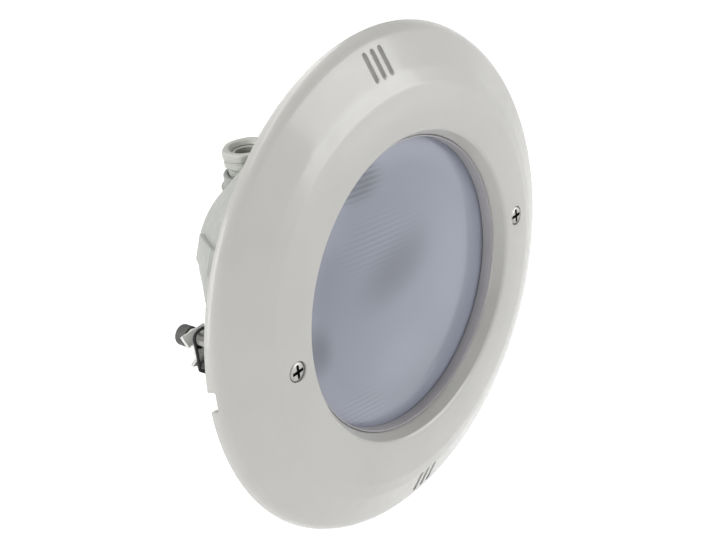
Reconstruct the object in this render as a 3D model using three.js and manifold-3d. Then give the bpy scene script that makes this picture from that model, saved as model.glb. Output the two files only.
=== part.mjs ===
// Underwater pool light of the flush, screw-fixed kind: a round trim ring, a sealed-beam lamp
// behind a gasketed glass lens, a bowl with a cable gland, and two captive screws whose claws
// swing out and grip the back of the wall.
//
// Millimetres, +Z up. The lamp axis is Y, with the front at -Y. The origin is on the lamp axis
// in the plane of the trim ring's rear rim, which is the face of the wall. In profiles, r is the
// distance from the axis and h the height in front of the wall, so y = -h.
import * as THREE from 'three';
import { mergeVertices } from 'three/addons/utils/BufferGeometryUtils.js';
import Module from 'manifold-3d';

const wasm = await Module();
wasm.setup();

// ---------------------------------------------------------------- driving dimensions
const GAP = 0.3;                      // between pieces that touch on the real light

const RIM_R = 142.2;                  // trim ring, rear outer edge
const RIM_INNER_R = 138.9;            // trim ring, rear inner edge
const ROLL = { r: 131.5, h: -2.75, radius: 11 };   // the rolled outer edge
const LIP_R = 83;                     // opening in front of the lens
const SLOT = { width: 3.3, pitch: 6.2, near: 119.5, far: 134.6 };
const NOTCH = { half: 5.8, depth: 3.5, inner: 133 };

const SCREW_R = 98.7;                 // distance of the face screws from the axis
const SCREW = {
  shank: 3, head: 5.55, top: 20.6, under: 18, end: 62, cross: { length: 5.6, width: 1.2, depth: 1.9 },
};
const RECESS = { radius: 6.2, h: 16.6 };
const BOSS = { radius: 6.2, h: 14, cup: 8.4, cupFrom: 13.5, cupTo: 18 };   // behind each face screw
const THREAD_BORE = 3.4;              // clearance bore for the long screws
const WASHER = { inner: 3.3, outer: 5.4, thick: 0.8 };
const CLIP = { inner: 3.3, outer: 5.8, thick: 1, gap: 3.6 };

const FLANGE = { front: 1, rear: 5, radius: 110, screws: 6, circle: 104, bore: 2.5 };
const FIRST_FLANGE_SCREW = Math.PI / 6;
const PILLAR = { radius: 4.6, h: 17.5, bore: 2.3, boreH: 12 };   // on the trim ring, for the flange screws
const PAN_HEAD = { shank: 2, tip: 11, point: 2.5, radius: 4, height: 2.6, crown: 3.2, edge: 1.4 };
const FLANGE_SEAL = { r: 93.3, section: 1.2 };
const BOWL_DEPTH = 123.5;
const GROOVE = { inner: 91.8, outer: 94.8, depth: 2.8 };
const BOWL_MOUTH_R = 84;
const RIB = { angle: 24.5, halfWidth: 7.5, proud: 2, end: 92, root: 46 };

const LENS = { radius: 88.8, seat: 81, edgeH: 8, crownH: 12.6, thickness: 3.8 };
const REFLECTOR = { vertex: 70, k: 0.0101, wall: 2, neck: 18, neckEnd: 74, hole: 10 };
const BASE = { front: 60, plug: 9.3, flange: 17, end: 82, edge: 1 };
const TAB = { x: 7, half: 3.2, thick: 0.6, length: 9, screw: 2.1, screwY: 5.5, screwTop: 2.6 };
const BLOCK = { half: 13, front: 84, back: 94, bottom: -36, top: -24 };
const WAY = { x: 6, y: 89, z: -31.5, driver: 2.4, wire: 1.8, screw: 2 };   // the block's two screw ways
const PEDESTAL = { half: 9, bottom: -34, top: -26 };
const LEAD = { radius: 1.2, steps: 14, sides: 4 };

const GLAND_Y = 92.5;                 // the gland's axis is parallel to Z at x = 0
const TURRET = { radius: 15.3, top: 49.2, bottom: 28, bore: 12.3, seat: 33, hole: 9 };
const POCKET = { radius: 19.5, floor: 41.5, wall: 3 };
const SLEEVE = { radius: 12, top: 56.3, edge: 0.8, bore: 9.3, ledge: 46.2, through: 6.5 };
const SEAL = { radius: 9, hole: 5, bottom: 46.5, top: 55.5 };
const PRESS = { hole: 7, flange: 11.6, under: 59.6, top: 60.8 };
const NUT = { flats: 13.5, round: 14.4, bottom: 53.5, shoulder: 61.1, top: 64, hole: 7.9 };

const CLAW = {
  y: 47.5, sheet: 2.2, half: 4.5, reach: 19.6, tooth: 4.4, toothZ: -11.6, hub: 5, hubEnd: 54,
};
const WING = { front: 48, foot: 0.1, back: 52.2, top: 5.4, sheet: 2, outer: 8.6, inner: 8.2 };
const CLAW_NUT = { radius: 5.8, bore: 3.35, front: 54.3, end: 61.5 };
const BAND = { half: 5.5, top: 6.8, bottom: -19.9, thick: 1.8, y: 45.4 };
const PAD = { half: 3.9, top: -11.4, bottom: -18.6, front: 44.6, back: 47.2, edge: 0.8 };

const ROUND = 40;                     // facets round the large turned pieces
const SMALL = 20;                     // and round the small ones

// ---------------------------------------------------------------- geometry helpers
const p = (r, y) => new THREE.Vector2(r, y);
const front = (r, h) => p(r, -h);

// A closed solid from any closed three.js geometry.
function solid(geometry) {
  const bare = new THREE.BufferGeometry();
  bare.setAttribute('position', geometry.getAttribute('position').clone());
  if (geometry.index) bare.setIndex(geometry.index.clone());
  const merged = mergeVertices(bare, 1e-4);
  const index = merged.index.array;
  const kept = [];
  for (let i = 0; i < index.length; i += 3) {
    const [a, b, c] = [index[i], index[i + 1], index[i + 2]];
    if (a !== b && b !== c && c !== a) kept.push(a, b, c);
  }
  return new wasm.Manifold(new wasm.Mesh({
    numProp: 3,
    vertProperties: new Float32Array(merged.getAttribute('position').array),
    triVerts: new Uint32Array(kept),
  }));
}

function geometryOf(manifold) {
  const mesh = manifold.getMesh();
  const geometry = new THREE.BufferGeometry();
  geometry.setAttribute('position', new THREE.BufferAttribute(mesh.vertProperties, 3));
  geometry.setIndex(new THREE.BufferAttribute(mesh.triVerts, 1));
  geometry.computeVertexNormals();
  return geometry;
}

const join = (first, ...others) => others.reduce((sum, other) => sum.add(other), first);
const cut = (first, ...others) => others.reduce((rest, other) => rest.subtract(other), first);

// Points of an arc in a profile; angles in degrees from +r towards +y.
function arc(r, y, radius, from, to, steps) {
  const points = [];
  for (let i = 0; i <= steps; i++) {
    const a = THREE.MathUtils.degToRad(from + (to - from) * i / steps);
    points.push(p(r + radius * Math.cos(a), y + radius * Math.sin(a)));
  }
  return points;
}

// A solid turned about Y. The profile is a loop clear of the axis, or runs from axis to axis.
function turned(profile, segments = ROUND) {
  const loop = THREE.ShapeUtils.area(profile) < 0 ? [...profile].reverse() : [...profile];
  const onAxis = loop.some((point) => point.x === 0);
  if (!onAxis) loop.push(loop[0].clone());
  while (onAxis && !(loop[0].x === 0 && loop[loop.length - 1].x === 0)) loop.push(loop.shift());
  return solid(new THREE.LatheGeometry(loop, segments));
}

// The same, about the gland's axis: profile y becomes z.
function turnedUpright(profile, segments = 24) {
  return turned(profile, segments).rotate([90, 0, 0]).translate([0, GLAND_Y, 0]);
}

function rod(radius, y0, y1, x = 0, z = 0, segments = SMALL) {
  const geometry = new THREE.CylinderGeometry(radius, radius, y1 - y0, segments);
  return solid(geometry.translate(x, (y0 + y1) / 2, z));
}

function uprightRod(radius, z0, z1, x = 0, y = GLAND_Y, segments = 24) {
  const geometry = new THREE.CylinderGeometry(radius, radius, z1 - z0, segments);
  return solid(geometry.rotateX(Math.PI / 2).translate(x, y, (z0 + z1) / 2));
}

function block(x0, x1, y0, y1, z0, z1) {
  const geometry = new THREE.BoxGeometry(x1 - x0, y1 - y0, z1 - z0);
  return solid(geometry.translate((x0 + x1) / 2, (y0 + y1) / 2, (z0 + z1) / 2));
}

// A flat outline of [x, z] points, given thickness from y0 to y1.
function plate(outline, y0, y1) {
  const shape = new THREE.Shape(outline.map(([x, z]) => p(x, z)));
  const geometry = new THREE.ExtrudeGeometry(shape, { depth: y1 - y0, bevelEnabled: false });
  return solid(geometry.rotateX(Math.PI / 2).translate(0, y1, 0));
}

// A flat outline of [y, z] points, given width from x0 to x1.
function prism(outline, x0, x1) {
  const shape = new THREE.Shape(outline.map(([y, z]) => p(y, z)));
  const geometry = new THREE.ExtrudeGeometry(shape, { depth: x1 - x0, bevelEnabled: false });
  const upright = new THREE.Matrix4().set(0, 0, 1, x0, 1, 0, 0, 0, 0, 1, 0, 0, 0, 0, 0, 1);
  return solid(geometry.applyMatrix4(upright));
}

// A cross recess for a screwdriver, centred on the Y axis.
function crossRecess(y0, y1, length, width) {
  return join(
    block(-length / 2, length / 2, y0, y1, -width / 2, width / 2),
    block(-width / 2, width / 2, y0, y1, -length / 2, length / 2),
  );
}

// Calls make(x, z, i) at each flange screw.
function aroundFlange(make) {
  for (let i = 0; i < FLANGE.screws; i++) {
    const angle = FIRST_FLANGE_SCREW + (2 * Math.PI * i) / FLANGE.screws;
    make(FLANGE.circle * Math.cos(angle), FLANGE.circle * Math.sin(angle), i);
  }
}

// ---------------------------------------------------------------- materials
const material = (color, roughness, metalness = 0, extra = {}) =>
  () => new THREE.MeshStandardMaterial({ color, roughness, metalness, ...extra });

const whitePlastic = material(0xe2e1da, 0.38);
const darkRubber = material(0x6f7271, 0.75);
const blackRubber = material(0x16171a, 0.6);
const glass = material(0xaeb6c6, 0.12, 0, { transparent: true, opacity: 0.45 });
const mirror = material(0xd8dadd, 0.16, 1);
const steel = material(0xb4b6b3, 0.28, 1);
const darkNut = material(0x5c5f5c, 0.5, 0.2);
const brass = material(0xc0a35c, 0.32, 1);
const ceramic = material(0xe9e4d6, 0.6);
const wireInsulation = material(0xb8a99a, 0.6);

const light = new THREE.Group();

function add(name, manifold, paint, parent = light) {
  const mesh = new THREE.Mesh(geometryOf(manifold), paint());
  mesh.name = name;
  parent.add(mesh);
}

// ---------------------------------------------------------------- trim ring and its seals
function trimRing() {
  // Face from the rear edge over the roll, cone and flatter inner band to the lip, then back
  // along the underside with the skirt that holds the gasket.
  const roll = arc(ROLL.r, -ROLL.h, ROLL.radius, -17.5, -62.7, 3);
  const face = [
    p(RIM_R, 0), ...roll,
    front(119.4, 15.9), front(113.5, 18), front(110.3, 18.9), front(99, 20.6), front(90, 21.3),
    front(87.8, 21.2), front(86.4, 20.3), front(LIP_R + 0.7, 15.6), front(LIP_R, 14.4),
  ];
  const underside = [
    front(LIP_R, 12.3), front(92.4, 12.3), front(92.4, -0.6), front(95.2, -0.6),
    front(95.2, 17.7), front(110, 15.9), front(118.3, 12.8), front(134.4, 4.4), p(RIM_INNER_R, 0),
  ];
  let ring = turned([...face, ...underside]);

  for (const side of [-1, 1]) {
    ring = join(
      ring,
      rod(BOSS.radius, -BOSS.h, FLANGE.front - GAP, side * SCREW_R),
      rod(BOSS.cup, -BOSS.cupTo, -BOSS.cupFrom, side * SCREW_R),
    );
  }
  aroundFlange((x, z) => {
    ring = join(ring, rod(PILLAR.radius, -PILLAR.h, FLANGE.front - GAP, x, z, 18));
    ring = cut(ring, rod(PILLAR.bore, -PILLAR.boreH, FLANGE.front + 1, x, z, 14));
  });
  for (const side of [-1, 1]) {
    ring = cut(
      ring,
      rod(RECESS.radius, -25, -RECESS.h, side * SCREW_R, 0),
      rod(THREAD_BORE, -25, 5, side * SCREW_R, 0),
    );
  }
  for (const end of [-1, 1]) {
    const [z0, z1] = [SLOT.near, SLOT.far].map((z) => end * z).sort((a, b) => a - b);
    for (const i of [-1, 0, 1]) {
      const x = i * SLOT.pitch;
      ring = cut(ring, block(x - SLOT.width / 2, x + SLOT.width / 2, -25, -0.5, z0, z1));
    }
    const [x0, x1] = [NOTCH.inner, RIM_R + 4].map((x) => end * x).sort((a, b) => a - b);
    ring = cut(ring, block(x0, x1, -NOTCH.depth, 2, -NOTCH.half, NOTCH.half));
  }
  return ring;
}

// U-section gasket round the rims of the lens and the reflector, with a collar that lines the lip.
function lensGasket() {
  return turned([
    front(81.2, 8.3), front(81.9, 14.3), front(82.7, 14.3), front(82.7, 12), front(92.1, 12),
    front(92.1, -0.7), front(86, -0.7), front(86, 1.9), front(89.1, 1.9), front(89.1, 8.3),
  ]);
}

function housingSeal() {
  const { r, section } = FLANGE_SEAL;
  return turned(arc(r, FLANGE.front + section, section, 0, 300, 5));
}

// ---------------------------------------------------------------- lamp
function lampLens() {
  const fall = (LENS.crownH - LENS.edgeH) / LENS.seat ** 2;
  const crown = (r) => LENS.crownH - fall * r * r;
  const steps = [0, 28, 56, LENS.seat];
  return turned([
    ...steps.map((r) => front(r, crown(r))),
    front(LENS.radius, LENS.edgeH - 0.1), front(LENS.radius, LENS.edgeH - LENS.thickness),
    ...steps.reverse().map((r) => front(r, crown(r) - LENS.thickness - 0.1)),
  ]);
}

// Paraboloid shell whose outer face is r = sqrt((vertex - y) / k), with a rim and a rear neck.
function lampReflector() {
  const dish = (y) => Math.sqrt((REFLECTOR.vertex - y) / REFLECTOR.k);
  const depths = [0, 16, 34, 50, 61];
  const outside = depths.map((y) => p(dish(y), y));
  const inside = depths.map((y) => p(dish(y + REFLECTOR.wall) - REFLECTOR.wall / 2, y)).reverse();
  return turned([
    front(LENS.radius, 4), front(LENS.radius, 2.2), front(85, 2.2), ...outside,
    p(REFLECTOR.neck + 3, 66.5), p(REFLECTOR.neck, 68), p(REFLECTOR.neck, REFLECTOR.neckEnd),
    p(REFLECTOR.hole, REFLECTOR.neckEnd), p(REFLECTOR.hole, 66), ...inside,
    front(81, 2.2), front(82, 4),
  ]);
}

function halogenCapsule() {
  return turned([
    p(0, 27), p(3, 27.8), p(5.4, 30), p(6.5, 33.5), p(6.5, 50), p(4.6, 53.5), p(4.6, 59.7), p(0, 59.7),
  ], 14);
}

function lampBase() {
  const { front: start, plug, flange, end, edge } = BASE;
  const shoulder = REFLECTOR.neckEnd + GAP;
  return turned([
    p(0, start), p(plug, start), p(plug, shoulder), p(flange, shoulder), p(flange, end - edge),
    p(flange - edge, end), p(0, end),
  ], SMALL);
}

// A spade tab with a wire screw, standing behind the ceramic base.
function lampTerminal(side) {
  const { half, thick, length, screw, screwY, screwTop } = TAB;
  const x = side * TAB.x;
  return join(
    block(x - half, x + half, BASE.end + GAP, BASE.end + length, -thick, thick),
    uprightRod(screw, thick - 0.1, screwTop, x, BASE.end + screwY, 14),
  );
}

function terminalBlock() {
  const { half, front: y0, back, bottom, top } = BLOCK;
  let body = block(-half, half, y0, back, bottom, top);
  for (const x of [-WAY.x, WAY.x]) {
    body = cut(
      body,
      rod(WAY.driver, y0 - 1, y0 + 6, x, WAY.z, 16),
      uprightRod(WAY.wire, top - 3.5, top + 1, x, WAY.y, 12),
    );
  }
  return body;
}

function blockScrew(side) {
  const x = side * WAY.x;
  const [head, depth, slotHalf] = [BLOCK.front + 0.6, 0.8, 0.4];
  return cut(
    rod(WAY.screw, head, head + 5, x, WAY.z, 14),
    block(x - 3, x + 3, head - 1, head + depth, WAY.z - slotHalf, WAY.z + slotHalf),
  );
}

function lampLead(side) {
  const route = new THREE.CatmullRomCurve3([
    [6, 89, -23.4], [6.4, 89, -19], [10, 91.5, -12], [9.5, 90.5, -6.5], [7, 87.5, -1.9],
  ].map(([x, y, z]) => new THREE.Vector3(side * x, y, z)));
  const section = new THREE.Shape().absarc(0, 0, LEAD.radius, 0, 2 * Math.PI);
  const options = {
    steps: LEAD.steps, curveSegments: LEAD.sides, bevelEnabled: false, extrudePath: route,
  };
  return solid(new THREE.ExtrudeGeometry(section, options));
}

// ---------------------------------------------------------------- bowl
const BOWL_OUTSIDE = [
  p(87, 8), p(87, 49.5), p(85, 52), p(78.8, 60), p(65.6, 76), p(51.4, 92), p(38.1, 107),
  p(29.8, 113.5), p(23, 117.6), p(12, 122), p(0, BOWL_DEPTH),
];
const BOWL_INSIDE = [
  p(84, 48.4), p(82.6, 50.1), p(76.4, 58.2), p(63.3, 74), p(49.1, 90), p(36, 104.8),
  p(28.1, 111), p(21.6, 115), p(11.2, 119.1), p(0, 120.5),
];

// A fore-and-aft rib that follows the outside of the bowl.
function bowlRib(angle) {
  const followed = BOWL_OUTSIDE.filter((q) => q.y <= RIB.end);
  const outline = followed.map((q) => p(q.x + RIB.proud, q.y + 0.6 * RIB.proud));
  const foot = [p(RIB.root, RIB.end - 4), p(RIB.root, FLANGE.rear)];
  const points = [p(87 + RIB.proud, FLANGE.front + 2), ...outline.slice(1), ...foot];
  const shape = new THREE.Shape(points);
  const geometry = new THREE.ExtrudeGeometry(shape, { depth: 2 * RIB.halfWidth, bevelEnabled: false });
  geometry.translate(0, 0, -RIB.halfWidth).rotateY(-angle);
  return solid(geometry);
}

// Stands the terminal block off the rear wall and runs half-way into it.
function pedestal(inside) {
  const { half, bottom, top } = PEDESTAL;
  const column = block(-half, half, BLOCK.back + GAP, BOWL_DEPTH, bottom, top);
  return column.intersect(inside.translate([0, 1.5, 0]));
}

function housingBowl() {
  let outside = turned([
    p(0, FLANGE.front), p(FLANGE.radius, FLANGE.front), p(FLANGE.radius, FLANGE.rear),
    p(90, FLANGE.rear), ...BOWL_OUTSIDE,
  ]);
  for (const quarter of [RIB.angle, 180 - RIB.angle, 180 + RIB.angle, -RIB.angle]) {
    outside = join(outside, bowlRib(THREE.MathUtils.degToRad(quarter)));
  }
  const inside = turned([p(0, FLANGE.front - 5), p(BOWL_MOUTH_R, FLANGE.front - 5), ...BOWL_INSIDE]);
  const recess = uprightRod(POCKET.radius, POCKET.floor, 90);
  const recessWall = uprightRod(POCKET.radius + POCKET.wall, POCKET.floor - POCKET.wall, 90);
  const groove = turned([
    p(GROOVE.inner, 0), p(GROOVE.outer, 0), p(GROOVE.outer, FLANGE.front + GROOVE.depth),
    p(GROOVE.inner, FLANGE.front + GROOVE.depth),
  ]);

  let bowl = cut(cut(outside, recess), cut(inside, recessWall), groove);
  bowl = join(
    bowl,
    uprightRod(TURRET.radius, TURRET.bottom, TURRET.top),
    pedestal(inside),
  );
  bowl = cut(
    bowl,
    uprightRod(TURRET.bore, TURRET.seat, TURRET.top + 5),
    uprightRod(TURRET.hole, TURRET.bottom - 6, TURRET.seat + 1),
  );
  for (const side of [-1, 1]) {
    bowl = cut(bowl, rod(THREAD_BORE - 0.1, 0, FLANGE.rear + 1, side * SCREW_R, 0, 24));
  }
  aroundFlange((x, z) => {
    bowl = cut(bowl, rod(FLANGE.bore, 0, FLANGE.rear + 1, x, z, 14));
  });
  return bowl;
}

// Self-tapping pan-head screw, driven from behind into a boss of the trim ring.
function flangeScrew(x, z) {
  const { shank, tip, point, radius, height, crown, edge } = PAN_HEAD;
  const under = FLANGE.rear + GAP;
  return turned([
    p(0, -tip), p(shank, point - tip), p(shank, under), p(radius, under), p(radius, under + edge),
    p(crown, under + height - 0.2), p(0, under + height),
  ], 12).translate([x, 0, z]);
}

// ---------------------------------------------------------------- cable gland
function glandSleeve() {
  return turnedUpright([
    p(SLEEVE.through, TURRET.seat + GAP), p(SLEEVE.radius, TURRET.seat + GAP),
    p(SLEEVE.radius, SLEEVE.top - SLEEVE.edge), p(SLEEVE.radius - SLEEVE.edge, SLEEVE.top),
    p(SLEEVE.bore, SLEEVE.top), p(SLEEVE.bore, SLEEVE.ledge), p(SLEEVE.through, SLEEVE.ledge),
  ]);
}

function glandSeal() {
  return turnedUpright([
    p(SEAL.hole, SEAL.bottom), p(SEAL.radius, SEAL.bottom),
    p(SEAL.radius, SEAL.top), p(SEAL.hole, SEAL.top),
  ]);
}

function glandThrustRing() {
  return turnedUpright([
    p(PRESS.hole, SEAL.top + GAP), p(SEAL.radius, SEAL.top + GAP), p(SEAL.radius, PRESS.under),
    p(PRESS.flange, PRESS.under), p(PRESS.flange, PRESS.top), p(PRESS.hole, PRESS.top),
  ]);
}

// Cap nut: a hexagon with well-rounded corners, tapered at the bottom.
function glandNut() {
  const corner = NUT.flats / Math.cos(Math.PI / 6);
  const outline = turnedUpright([
    p(0, NUT.bottom), p(NUT.round - 1.5, NUT.bottom), p(NUT.round, NUT.bottom + 3.2),
    p(NUT.round, NUT.top - 1.6), p(NUT.round - 1, NUT.top - 0.4), p(NUT.round - 2, NUT.top), p(0, NUT.top),
  ], 24);
  const hexagon = new THREE.CylinderGeometry(corner, corner, 20, 6).rotateX(Math.PI / 2);
  const nut = outline.intersect(solid(hexagon.translate(0, GLAND_Y, NUT.top - 8)));
  return cut(
    nut,
    uprightRod(SLEEVE.radius + GAP, NUT.bottom - 1, NUT.shoulder),
    uprightRod(NUT.hole, NUT.bottom, NUT.top + 1),
  );
}

// ---------------------------------------------------------------- wall fixings
// Drawn about the screw's own axis on the left of the light, and turned half round for the right.
function faceScrew() {
  const { shank, head, top, under, end, cross } = SCREW;
  const screw = turned([
    front(0, top), front(3, top - 0.15), front(head - 0.8, top - 0.8), front(head, top - 1.6),
    front(head, under), front(shank, under), p(shank, end - 1), p(shank - 1, end), p(0, end),
  ], SMALL);
  return cut(screw, crossRecess(-top - 1, cross.depth - top, cross.length, cross.width));
}

function screwWasher() {
  const [low, high] = [RECESS.h + GAP, RECESS.h + GAP + WASHER.thick];
  const { inner, outer } = WASHER;
  return turned([front(inner, low), front(outer, low), front(outer, high), front(inner, high)], SMALL);
}

// Spring clip behind the flange that keeps the screw from falling out.
function screwClip() {
  const [y0, y1] = [FLANGE.rear + 0.4, FLANGE.rear + 0.4 + CLIP.thick];
  return cut(
    turned([p(CLIP.inner, y0), p(CLIP.outer, y0), p(CLIP.outer, y1), p(CLIP.inner, y1)], SMALL),
    block(-CLIP.gap / 2, CLIP.gap / 2, y0 - 1, y1 + 1, 0, CLIP.outer + 2),
  );
}

function clawNut() {
  const { radius, bore, front: y0, end } = CLAW_NUT;
  return turned([
    p(bore, y0), p(radius, y0), p(radius, end - 1.8), p(radius - 0.6, end - 0.7),
    p(radius - 1.8, end), p(bore, end),
  ], SMALL);
}

// Folded stainless sheet: a hanging arm with a side tooth, a wing that leans back, and a hub.
function claw() {
  const { y, sheet, half, reach, tooth, toothZ, hub, hubEnd } = CLAW;
  const arm = plate([
    [-half, 0.5], [-half, toothZ + 2.4], [-half - tooth, toothZ], [-half, toothZ - 2.4],
    [-half, 1 - reach], [1 - half, -reach], [half - 1, -reach], [half, 1 - reach], [half, 0.5],
  ], y, y + sheet);
  const length = Math.hypot(WING.back - WING.front, WING.top - WING.foot);
  const [along, up] = [(WING.back - WING.front) / length, (WING.top - WING.foot) / length];
  const [dy, dz] = [up * WING.sheet, -along * WING.sheet];
  const wing = prism([
    [WING.front, WING.foot], [WING.front + dy, WING.foot + dz],
    [WING.back + dy, WING.top + dz], [WING.back, WING.top],
  ], -WING.outer, WING.inner);
  const beyond = 12;
  const clearOfWing = prism([
    [WING.front, WING.foot], [WING.front + beyond * along, WING.foot + beyond * up],
    [y - 5, WING.foot + beyond * up], [y - 5, WING.foot],
  ], -12, 12);
  const body = join(arm, rod(hub, y, hubEnd));
  return cut(join(cut(body, clearOfWing), wing), rod(THREAD_BORE, y - 5, hubEnd + 5));
}

// Rubber loop round the screw and the pad, which holds the claw parked.
function clawBand() {
  const ring = (grow, corner) => {
    const shape = new THREE.Shape();
    const [w, low, high] = [BAND.half + grow, BAND.bottom - grow, BAND.top + grow];
    shape.absarc(w - corner, high - corner, corner, 0, Math.PI / 2);
    shape.absarc(corner - w, high - corner, corner, Math.PI / 2, Math.PI);
    shape.absarc(corner - w, low + corner, corner, Math.PI, 1.5 * Math.PI);
    shape.absarc(w - corner, low + corner, corner, 1.5 * Math.PI, 2 * Math.PI);
    const options = { depth: BAND.thick, curveSegments: 3, bevelEnabled: false };
    const geometry = new THREE.ExtrudeGeometry(shape, options).rotateX(Math.PI / 2);
    return solid(geometry.translate(0, BAND.y + BAND.thick, 0));
  };
  return cut(ring(BAND.thick / 2, 3), ring(-BAND.thick / 2, 1.2));
}

function clawPad() {
  const { half, top, bottom, front: y0, back, edge } = PAD;
  return prism([
    [y0, bottom + edge], [y0 + edge, bottom], [back, bottom], [back, top], [y0 + edge, top], [y0, top - edge],
  ], -half, half);
}

// ---------------------------------------------------------------- assembly
add('trim_ring', trimRing(), whitePlastic);
add('lens_gasket', lensGasket(), darkRubber);
add('lamp_lens', lampLens(), glass);
add('lamp_reflector', lampReflector(), mirror);
add('halogen_capsule', halogenCapsule(), glass);
add('lamp_base', lampBase(), ceramic);
add('housing_bowl', housingBowl(), whitePlastic);
add('housing_seal', housingSeal(), blackRubber);
add('terminal_block', terminalBlock(), ceramic);
aroundFlange((x, z, i) => add(`flange_screw_${i + 1}`, flangeScrew(x, z), steel));

add('gland_sleeve', glandSleeve(), whitePlastic);
add('gland_seal', glandSeal(), blackRubber);
add('gland_thrust_ring', glandThrustRing(), whitePlastic);
add('gland_nut', glandNut(), whitePlastic);

for (const [name, side] of [['left', -1], ['right', 1]]) {
  add(`lamp_terminal_${name}`, lampTerminal(side), brass);
  add(`lamp_lead_${name}`, lampLead(side), wireInsulation);
  add(`block_screw_${name}`, blockScrew(side), brass);

  const fixing = new THREE.Group();
  fixing.position.x = side * SCREW_R;
  fixing.rotation.y = side < 0 ? 0 : Math.PI;
  add(`face_screw_${name}`, faceScrew(), steel, fixing);
  add(`screw_washer_${name}`, screwWasher(), blackRubber, fixing);
  add(`screw_clip_${name}`, screwClip(), steel, fixing);
  add(`claw_nut_${name}`, clawNut(), darkNut, fixing);
  add(`claw_${name}`, claw(), steel, fixing);
  add(`claw_band_${name}`, clawBand(), blackRubber, fixing);
  add(`claw_pad_${name}`, clawPad(), darkRubber, fixing);
  light.add(fixing);
}

export default light;
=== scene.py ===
import math
from collections import namedtuple

import bmesh
import bpy
import numpy as np
from mathutils import Matrix, Vector


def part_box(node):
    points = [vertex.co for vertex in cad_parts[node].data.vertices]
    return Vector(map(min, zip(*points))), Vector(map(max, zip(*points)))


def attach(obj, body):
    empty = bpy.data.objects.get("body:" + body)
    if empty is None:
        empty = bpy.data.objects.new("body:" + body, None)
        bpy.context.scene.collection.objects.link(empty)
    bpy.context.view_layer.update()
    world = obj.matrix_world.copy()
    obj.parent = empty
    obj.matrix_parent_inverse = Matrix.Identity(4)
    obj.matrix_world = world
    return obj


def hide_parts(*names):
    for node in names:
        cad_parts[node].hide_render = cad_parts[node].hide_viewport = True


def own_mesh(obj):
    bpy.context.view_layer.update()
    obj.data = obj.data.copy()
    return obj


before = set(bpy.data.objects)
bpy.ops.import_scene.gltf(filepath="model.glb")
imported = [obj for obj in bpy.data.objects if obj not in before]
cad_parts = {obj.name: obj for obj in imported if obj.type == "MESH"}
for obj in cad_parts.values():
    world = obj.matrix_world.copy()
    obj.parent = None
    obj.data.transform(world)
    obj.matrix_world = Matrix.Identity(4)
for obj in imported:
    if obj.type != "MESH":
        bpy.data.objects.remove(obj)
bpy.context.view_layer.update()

MM = 0.001

# ---------------------------------------------------------------- sizes, in millimetres
Point = namedtuple("Point", "x y z")


def in_millimetres(corner):
    """A place in metres as a Point, to a hundredth of a millimetre."""
    return Point(*(round(v / MM, 2) for v in corner))


def lowest(node):
    """The lowest corner of a CAD node at rest."""
    return in_millimetres(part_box(node)[0])


def highest(node):
    """The highest corner of a CAD node at rest."""
    return in_millimetres(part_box(node)[1])


def centre_of(node):
    """The middle of a CAD node's box at rest."""
    low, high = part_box(node)
    return in_millimetres((low + high) / 2)


RIM_R, RIM_INNER_R, LIP_R = highest("trim_ring").z, 138.9, 83.0
ROLL_R, ROLL_H, ROLL_RADIUS = 131.5, -2.75, 11.0       # centre and radius of the rolled edge
SLOT_HALF, SLOT_PITCH, SLOT_NEAR, SLOT_FAR = 1.65, 6.2, 119.5, 134.6
NOTCH_HALF, NOTCH_DEPTH, NOTCH_INNER = 5.8, 3.5, 133.0
FACE_TOP = 26.0                        # a height clear of the whole face, where its cutters start

SCREW_R, SCREW_END = centre_of("face_screw_right").x, highest("face_screw_right").y
SCREW_TOP, SCREW_UNDER = 20.6, 18.0    # heights of the face screw's head
SCREW_RADIUS, THREAD_BORE = 3, 3.4
RECESS_RADIUS, RECESS_H = 5.65, 16.6   # the recess that takes the head, and its floor
SCREW_POST, SCREW_BOSS = 6.2, 8.4      # radii of the post behind the recess, and of its root
BOWL_BORE = 3.3                        # radius of the hole for the screw through the bowl's flange

FLANGE_RADIUS, FLANGE_FRONT, FLANGE_REAR = highest("housing_bowl").z, lowest("housing_bowl").y, 5.0
FLANGE_SCREWS, FLANGE_FIRST = 6, 30    # number, and the angle of the first, in degrees
FLANGE_CIRCLE = round(math.hypot(centre_of("flange_screw_1").x, centre_of("flange_screw_1").z), 1)
FLANGE_POST, FLANGE_THREAD, FLANGE_HOLE = 4.6, 2.3, 2.5
POST_REAR = 0.7                        # y of the ring's posts' ends, just short of the flange

LENS_R, LENS_H = highest("lamp_lens").z, -lowest("lamp_lens").y
LENS_TILT = math.radians(-8)           # the ribs run a little clockwise of level
LENS_PITCH = 3.0

BARREL_RADIUS, RIB_ANGLE, RIB_HALF, RIB_PROUD = 87, 24.5, 7.5, 2.0
BOWL_OUTSIDE = [
    (BARREL_RADIUS, 8), (BARREL_RADIUS, 49.5), (85, 52), (78.8, 60), (65.6, 76), (51.4, 92),
    (38.1, 107), (29.8, 113.5), (23, 117.6), (12, 122), (0, 123.5),
]
BOWL_INSIDE = [
    (84, 48.4), (82.6, 50.1), (76.4, 58.2), (63.3, 74), (49.1, 90), (36, 104.8),
    (28.1, 111), (21.6, 115), (11.2, 119.1), (0, 120.5),
]

GLAND_Y = centre_of("gland_sleeve").y  # the gland's axis is upright at x = 0
TURRET_RADIUS, TURRET_FOOT, TURRET_TOP, TURRET_BORE = 15.3, 28, 49.2, 12.3
POCKET_RADIUS, POCKET_FLOOR, POCKET_WALL, POCKET_TOP = 19.5, 41.5, 3, 90
SEAL_FOOT, SEAL_SQUASHED = lowest("gland_seal").z, 0.667
NUT_FLATS, NUT_CREST, NUT_NECK = 13.6, 14.4, 12.35

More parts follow.
